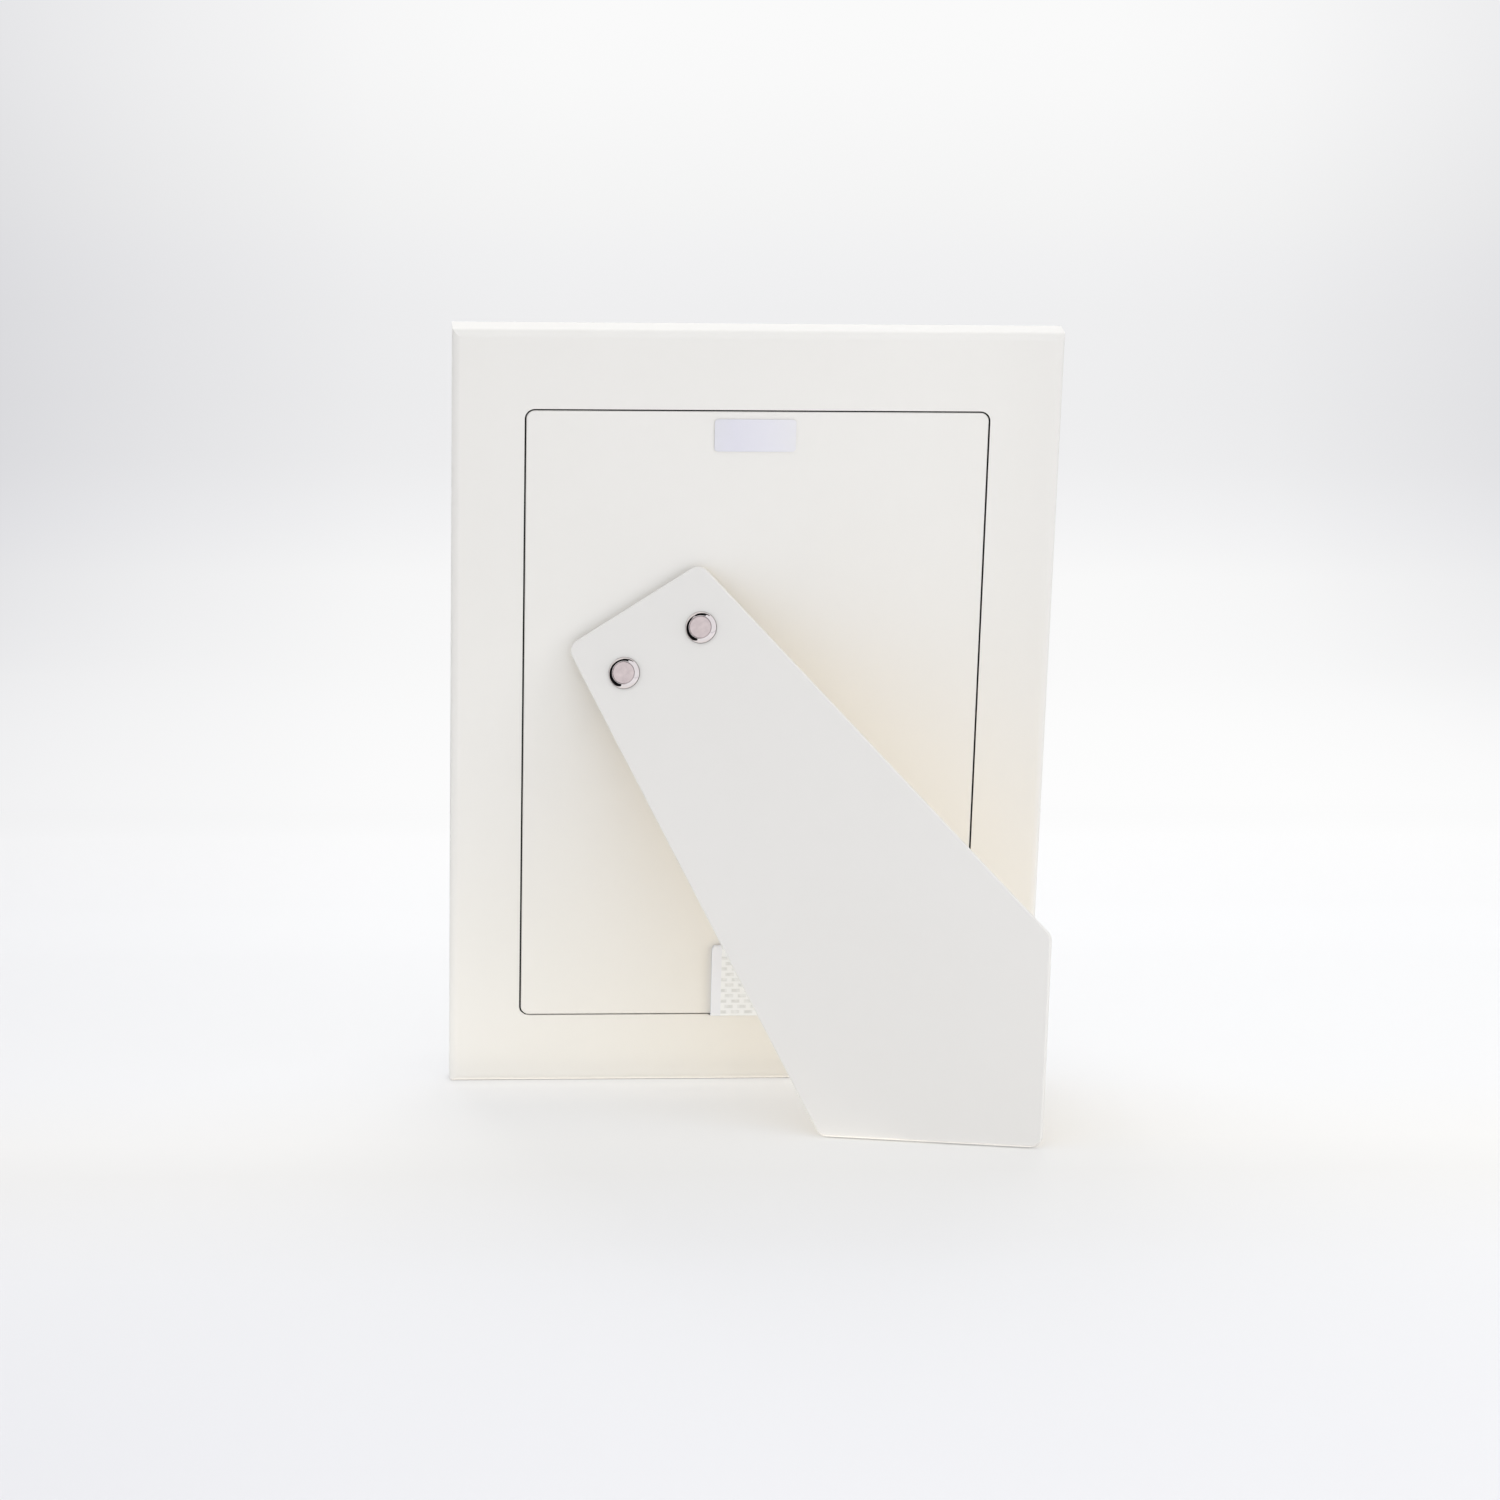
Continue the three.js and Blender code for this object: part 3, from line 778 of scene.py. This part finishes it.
# the washers' plate is paler and sharper, so that the card and the lamps draw crescents in it
bright = nickel.copy()
bright.name = "bright_nickel_plate"
for node in bright.node_tree.nodes:
    if node.bl_idname == "ShaderNodeMix":
        node.inputs[6].default_value = linear("#F5EEED")
        node.inputs[7].default_value = linear("#EAE1E1")
    if node.bl_idname == "ShaderNodeMapRange":
        node.inputs["To Min"].default_value = 0.03
        node.inputs["To Max"].default_value = 0.07
# a thin dark ring painted at the washer's foot stands in for the contact shadow against the lacquer
foot = add_node(bright, "ShaderNodeAttribute", {"attribute_name": "seam"}, {})
shine = next(node for node in bright.node_tree.nodes if node.bl_idname == "ShaderNodeBsdfPrincipled")
foot_shaded = add_node(
    bright,
    "ShaderNodeMix",
    {"data_type": "RGBA"},
    {
        0: foot.outputs["Fac"],
        6: shine.inputs["Base Color"].links[0].from_socket,
        7: linear("#3A3431"),
    },
)
bright.node_tree.links.new(foot_shaded.outputs[2], shine.inputs["Base Color"])

for side, (x, y) in RIVETS.items():
    for master, node, lift, plate in (
        (rivet, "strut_rivet", 0, nickel),
        (cup, "cup_washer", WASHER_Z, bright),
    ):
        piece = master.copy()
        piece.data = master.data.copy()
        piece.name = f"{node}_{side}_plated"
        bpy.context.scene.collection.objects.link(piece)
        piece.data.transform(STRUT_PLANE @ Matrix.Translation(Vector((x, y, lift)) * MM))
        piece.data.materials.append(plate)
        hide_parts(f"{node}_{side}")
        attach(piece, "strut")
for master in (rivet, cup):
    bpy.data.objects.remove(master)


# Floor and backdrop
# A sheet of white paper swept up behind the frame. Its colour carries a painted fall of light and shade,
# drawn by place. Close to the frame it is mostly lit paper, which keeps the shadow; further back the camera
# sees the painted tone alone, glowing.
FLOOR_W, FLOOR_D = 5.0, 3.6
FLOOR_MIDDLE = 0.7
BEND_FROM = -1.1
BEND = 0.15
BEND_STEPS = 12
WALL_RISE = 2.4
bpy.ops.object.select_all(action="DESELECT")
bpy.ops.mesh.primitive_plane_add(size=1, location=(0, 0, 0))
sweep = bpy.context.object
sweep.name = "paper_sweep"
bpy.ops.object.mode_set(mode="EDIT")
bpy.ops.transform.resize(value=(FLOOR_W, FLOOR_D, 1))
bpy.ops.transform.translate(value=(0, FLOOR_MIDDLE, 0))
pick_edges(sweep, lambda edge: all(vert.co.y < 0 for vert in edge.verts))
y, z = BEND_FROM, 0.0
for i in range(1, BEND_STEPS + 1):
    turned = math.pi / 2 * i / BEND_STEPS
    next_y, next_z = BEND_FROM - BEND * math.sin(turned), BEND * (1 - math.cos(turned))
    bpy.ops.mesh.extrude_region_move(TRANSFORM_OT_translate={"value": (0, next_y - y, next_z - z)})
    y, z = next_y, next_z
bpy.ops.mesh.extrude_region_move(TRANSFORM_OT_translate={"value": (0, 0, WALL_RISE)})
bpy.ops.mesh.select_all(action="SELECT")
bpy.ops.mesh.normals_make_consistent(inside=False)
bpy.ops.object.mode_set(mode="OBJECT")
if sum(face.normal.z for face in sweep.data.polygons) < 0:
    sweep.data.flip_normals()
bpy.ops.object.shade_smooth_by_angle(angle=math.radians(20))

# matt white paper, too smooth to show a grain, whose colour is painted light and shade: a soft grey near the
# frame, nearly white behind it and greyer again at its sides; the tones are placed in metres from the frame,
# back over the floor and up the wall
backdrop = new_material("white_paper_sweep")
where = add_node(backdrop, "ShaderNodeTexCoord", {}, {})
spot = add_node(backdrop, "ShaderNodeSeparateXYZ", {}, {"Vector": where.outputs["Object"]})
far = add_node(
    backdrop,
    "ShaderNodeMath",
    {"operation": "SUBTRACT"},
    {0: spot.outputs["Z"], 1: spot.outputs["Y"]},
)
FAR_LOW, FAR_HIGH = -0.4, 1.65
share = add_node(
    backdrop,
    "ShaderNodeMapRange",
    {},
    {"Value": far.outputs[0], "From Min": FAR_LOW, "From Max": FAR_HIGH},
)
fall = add_node(backdrop, "ShaderNodeValToRGB", {}, {0: share.outputs[0]})
PAINTED_LIGHT_TONES = (
    (-0.33, "#ECECEE"), (-0.19, "#EDEDEE"), (-0.08, "#ECEBE9"), (-0.04, "#EFEEEC"), (0.04, "#EEEEEE"),
    (0.25, "#ECECEC"), (0.36, "#EFEFEF"), (0.42, "#F3F3F3"), (0.52, "#FBFBFB"), (0.64, "#FDFDFD"),
    (0.91, "#FCFCFC"), (1.25, "#F9F9F9"), (1.30, "#F4F4F5"), (1.35, "#EFEFF0"), (1.39, "#EEEEEF"),
    (1.44, "#EFEFF0"), (1.47, "#F1F1F2"), (1.50, "#F4F4F4"), (1.54, "#F7F7F7"), (1.57, "#F9F9F9"),
    (1.60, "#FAFAFA"),
)
for index, (at, colour) in enumerate(PAINTED_LIGHT_TONES):
    position = (at - FAR_LOW) / (FAR_HIGH - FAR_LOW)
    stop = fall.color_ramp.elements[index] if index < 2 else fall.color_ramp.elements.new(position)
    stop.position = position
    stop.color = linear(colour)

# painted shade: the paper's sides fall off evenly from a middle line a little to the picture's right
MIDDLE_X = -0.142
PAINTED_SIDE_SHADE = (
    (0.0, 1.0), (0.15, 1.0), (0.2, 0.99), (0.257, 0.972), (0.315, 0.934), (0.372, 0.899), (0.43, 0.854),
    (0.48, 0.81), (0.6, 0.76),
)
aside = add_node(
    backdrop,
    "ShaderNodeMath",
    {"operation": "SUBTRACT"},
    {0: spot.outputs["X"], 1: MIDDLE_X},
)
off = add_node(backdrop, "ShaderNodeMath", {"operation": "ABSOLUTE"}, {0: aside.outputs[0]})
dim = add_node(backdrop, "ShaderNodeValToRGB", {}, {0: off.outputs[0]})
for index, (at, level) in enumerate(PAINTED_SIDE_SHADE):
    stop = dim.color_ramp.elements[index] if index < 2 else dim.color_ramp.elements.new(at)
    stop.position = at
    stop.color = (level, level, level + (1 - level) * 0.1, 1)
dimmed = add_node(
    backdrop,
    "ShaderNodeMapRange",
    {},
    {"Value": far.outputs[0], "From Min": 1.1, "From Max": 1.25, "To Min": 0.75, "To Max": 1.0},
)
painted_light_tone = add_node(
    backdrop,
    "ShaderNodeMix",
    {"data_type": "RGBA", "blend_type": "MULTIPLY"},
    {0: dimmed.outputs[0], 6: fall.outputs[0], 7: dim.outputs[0]},
)

# the painted tone glows, though the paper is no lamp, for rays that look at it; all others meet lit paper of
# the same painted tone, which keeps the shadow
shown = add_node(backdrop, "ShaderNodeEmission", {}, {"Color": painted_light_tone.outputs[2], "Strength": 1.0})
lit = add_node(backdrop, "ShaderNodeBsdfDiffuse", {}, {"Color": painted_light_tone.outputs[2]})
path = add_node(backdrop, "ShaderNodeLightPath", {}, {})
seen = add_node(
    backdrop,
    "ShaderNodeMath",
    {"operation": "MAXIMUM"},
    {0: path.outputs["Is Camera Ray"], 1: path.outputs["Is Glossy Ray"]},
)
seen = add_node(
    backdrop,
    "ShaderNodeMath",
    {"operation": "MAXIMUM"},
    {0: seen.outputs[0], 1: path.outputs["Is Transmission Ray"]},
)
back = add_node(
    backdrop,
    "ShaderNodeMapRange",
    {"interpolation_type": "SMOOTHSTEP"},
    {"Value": far.outputs[0], "From Min": 0.25, "From Max": 0.6, "To Min": 0.45},
)
blend = add_node(
    backdrop,
    "ShaderNodeMath",
    {"operation": "MULTIPLY"},
    {0: seen.outputs[0], 1: back.outputs[0]},
)
mixed = add_node(
    backdrop,
    "ShaderNodeMixShader",
    {},
    {0: blend.outputs[0], 1: lit.outputs[0], 2: shown.outputs[0]},
)
add_node(backdrop, "ShaderNodeOutputMaterial", {}, {"Surface": mixed.outputs[0]})
sweep.data.materials.append(backdrop)


# Lights
# A tent that reflections see as evenly white, and soft lights above and on every side that they don't see.
# A warm bounce comes up from the floor behind the strut. A black card on the picture's left is seen only in
# reflections, as the dark crescents on the rivets show, and two pieces of net shade the front and one edge.
# the tent's strength as a light, and as the white that the camera and reflections see
TENT_LIGHT, TENT_SEEN = 0.635, 0.9
world = bpy.data.worlds.new("white_tent")
bpy.context.scene.world = world
world.use_nodes = True
world.node_tree.nodes.clear()
path = add_node(world, "ShaderNodeLightPath", {}, {})
seen = add_node(
    world,
    "ShaderNodeMath",
    {"operation": "MAXIMUM"},
    {0: path.outputs["Is Camera Ray"], 1: path.outputs["Is Glossy Ray"]},
)
seen = add_node(
    world,
    "ShaderNodeMath",
    {"operation": "MAXIMUM"},
    {0: seen.outputs[0], 1: path.outputs["Is Transmission Ray"]},
)
level = add_node(
    world,
    "ShaderNodeMapRange",
    {},
    {"Value": seen.outputs[0], "To Min": TENT_LIGHT, "To Max": TENT_SEEN},
)
tent = add_node(
    world, "ShaderNodeBackground", {}, {"Color": (0.965, 0.975, 1.0, 1), "Strength": level.outputs[0]}
)
add_node(world, "ShaderNodeOutputWorld", {}, {"Surface": tent.outputs[0]})

# each with its place, what it points at, its width and depth in metres, its power in watts and its colour
SOFTBOXES = (
    ("overhead_softbox", (0.15, 0.0, 1.5), (0, 0, 0.05), (1.8, 1.8), 6.9, (0.98, 0.985, 1.0)),
    ("front_softbox", (0.1, 1.6, 0.9), (0, 0, 0.05), (1.6, 1.6), 6.0, (1, 1, 1)),
    ("back_softbox", (0.0, -1.0, 1.0), (0, 0, 0.05), (0.8, 0.8), 8.7, (1, 1, 1)),
    ("left_softbox", (0.9, 0.0, 0.2), (0, -0.04, 0.1), (0.4, 0.4), 0.75, (1, 1, 1)),
    ("right_softbox", (-0.85, 0.75, 0.4), (0, 0, 0.05), (1.2, 1.2), 1.75, (1, 1, 1)),
    ("low_right_softbox", (-0.85, 0.5, 0.15), (0, 0, 0.05), (0.4, 0.4), 1.4, (1, 1, 1)),
    ("floor_bounce", (0.0, 0.005, 0.0002), (0, 0.005, 1), (0.4, 0.082), 0.0345, (1.0, 0.94, 0.77)),
)
for name, spot, target, (width, depth), power, colour in SOFTBOXES:
    bpy.ops.object.light_add(type="AREA", location=spot)
    softbox = bpy.context.object
    softbox.name = name
    softbox.data.shape = "RECTANGLE"
    softbox.data.size = width
    softbox.data.size_y = depth
    softbox.data.energy = power
    softbox.data.color = colour
    softbox.visible_camera = False
    softbox.visible_glossy = False
    to_target = Vector(target) - softbox.location
    softbox.rotation_euler = to_target.to_track_quat("-Z", "Y").to_euler()

# close to the two lower edges the floor and the rounded arris light each other up; each glow has its place,
# its width and depth, its power, its turn on the floor in degrees, and whether it shines up
GLOW_COLOUR = (1.0, 0.94, 0.84)
EDGE_GLOWS = (
    ("frame_edge_up", (0, -0.0433, 0.0002), (0.172, 0.0008), 0.00032, 0, True),
    ("frame_edge_down", (0, -0.0375, 0.004), (0.172, 0.006), 0.0009, 0, False),
    ("frame_floor_down", (0, -0.0260, 0.004), (0.172, 0.022), 0.001, 0, False),
    ("foot_edge_up", (-0.0452, 0.0466, 0.0002), (0.060, 0.0009), 0.00012, -15.8, True),
)
for name, spot, (width, depth), power, turn, up in EDGE_GLOWS:
    bpy.ops.object.light_add(type="AREA", location=spot)
    glow = bpy.context.object
    glow.name = name
    glow.data.shape = "RECTANGLE"
    glow.data.size = width
    glow.data.size_y = depth
    glow.data.energy = power
    glow.data.color = GLOW_COLOUR
    glow.visible_camera = False
    glow.visible_glossy = False
    glow.rotation_euler = (math.pi if up else 0, 0, math.radians(turn))

# the card hangs flat overhead, folds down at its outer edge, widens to the floor and folds back in above it
CARD_W, CARD_D = 1.0, 1.22
CARD_MIDDLE = Vector((0.25, -0.29, 0.95))
CARD_LOW = 0.002
CARD_FLARE = 1.25
CARD_IN = 0.6
card_corner = (CARD_MIDDLE.x + CARD_W / 2, CARD_MIDDLE.y - CARD_D / 2, CARD_LOW)
bpy.ops.object.select_all(action="DESELECT")
bpy.ops.mesh.primitive_plane_add(size=1, location=(0, 0, 0))
card = bpy.context.object
card.name = "dark_card"
bpy.ops.object.mode_set(mode="EDIT")
bpy.ops.transform.resize(value=(CARD_W, CARD_D, 1))
bpy.ops.transform.translate(value=CARD_MIDDLE)
pick_edges(card, lambda edge: all(vert.co.x > CARD_MIDDLE.x for vert in edge.verts))
bpy.ops.mesh.extrude_region_move(
    TRANSFORM_OT_translate={"value": (0, 0, CARD_LOW - CARD_MIDDLE.z)}
)
bpy.ops.transform.resize(value=(1, CARD_FLARE, 1), center_override=card_corner)
bpy.ops.mesh.extrude_region_move(TRANSFORM_OT_translate={"value": (-CARD_IN, 0, 0)})
bpy.ops.object.mode_set(mode="OBJECT")

# deep black and matt, with a weak cloudiness a few millimetres across
CARD_CLOUD = 3 * MM
black = new_material("black_card")
where = add_node(black, "ShaderNodeTexCoord", {}, {})
grain = add_node(
    black, "ShaderNodeTexNoise", {}, {"Vector": where.outputs["Object"], "Scale": 1 / CARD_CLOUD}
)
tone = add_node(
    black,
    "ShaderNodeMix",
    {"data_type": "RGBA"},
    {0: grain.outputs["Fac"], 6: linear("#0B0B0C"), 7: linear("#151516")},
)
surface = add_node(black, "ShaderNodeBsdfDiffuse", {}, {"Color": tone.outputs[2]})
add_node(black, "ShaderNodeOutputMaterial", {}, {"Surface": surface.outputs[0]})
card.data.materials.append(black)
card.visible_camera = False
card.visible_diffuse = False
card.visible_transmission = False
card.visible_shadow = False

# a thin net before the frame's face keeps a part of the back softbox's light off it, so that white shows
# form; like the strip beside the frame it is seen only by shadow rays
NET_W, NET_H = 0.19, 0.25
NET_PLACE = (0, -0.12, 0.185)
bpy.ops.object.select_all(action="DESELECT")
bpy.ops.mesh.primitive_plane_add(size=1, location=(0, 0, 0))
net = bpy.context.object
net.name = "light_net"
bpy.ops.object.mode_set(mode="EDIT")
bpy.ops.transform.resize(value=(NET_W, NET_H, 1))
bpy.ops.transform.rotate(value=math.radians(90), orient_axis="X")
bpy.ops.transform.translate(value=NET_PLACE)
bpy.ops.object.mode_set(mode="OBJECT")

# a narrow strip of the same net beside the frame, leaning back with it, keeps the right softboxes off its
# right edge
STRIP_H, STRIP_W = 0.22, 0.036
STRIP_PLACE = Vector((-0.112, -0.03, 0.135))
STRIP_LEAN = 0.047
bpy.ops.object.select_all(action="DESELECT")
bpy.ops.mesh.primitive_plane_add(size=1, location=(0, 0, 0))
strip = bpy.context.object
strip.name = "edge_net"
bpy.ops.object.mode_set(mode="EDIT")
bpy.ops.transform.resize(value=(STRIP_H, STRIP_W, 1))
bpy.ops.transform.rotate(value=math.radians(90), orient_axis="Y")
bpy.ops.transform.translate(value=STRIP_PLACE)
pick_edges(strip, lambda edge: all(vert.co.z > STRIP_PLACE.z for vert in edge.verts))
bpy.ops.transform.translate(value=(0, STRIP_LEAN, 0))
bpy.ops.object.mode_set(mode="OBJECT")

# black gauze that stops about 70 of every 100 parts of the light; its thread is drawn far coarser than real,
# because only its soft shadow shows
GAUZE_SIZE = 4 * MM
mesh_cloth = new_material("black_net")
where = add_node(mesh_cloth, "ShaderNodeTexCoord", {}, {})
thread = add_node(
    mesh_cloth, "ShaderNodeTexNoise", {}, {"Vector": where.outputs["Object"], "Scale": 1 / GAUZE_SIZE}
)
cover = add_node(
    mesh_cloth, "ShaderNodeMapRange", {}, {"Value": thread.outputs["Fac"], "To Min": 0.6, "To Max": 0.8}
)
hole = add_node(mesh_cloth, "ShaderNodeBsdfTransparent", {}, {})
yarn = add_node(mesh_cloth, "ShaderNodeBsdfDiffuse", {}, {"Color": linear("#0F0F10")})
surface = add_node(
    mesh_cloth, "ShaderNodeMixShader", {}, {0: cover.outputs[0], 1: hole.outputs[0], 2: yarn.outputs[0]}
)
add_node(mesh_cloth, "ShaderNodeOutputMaterial", {}, {"Surface": surface.outputs[0]})
for cloth in (net, strip):
    cloth.data.materials.append(mesh_cloth)
    cloth.visible_camera = False
    cloth.visible_diffuse = False
    cloth.visible_glossy = False
    cloth.visible_transmission = False
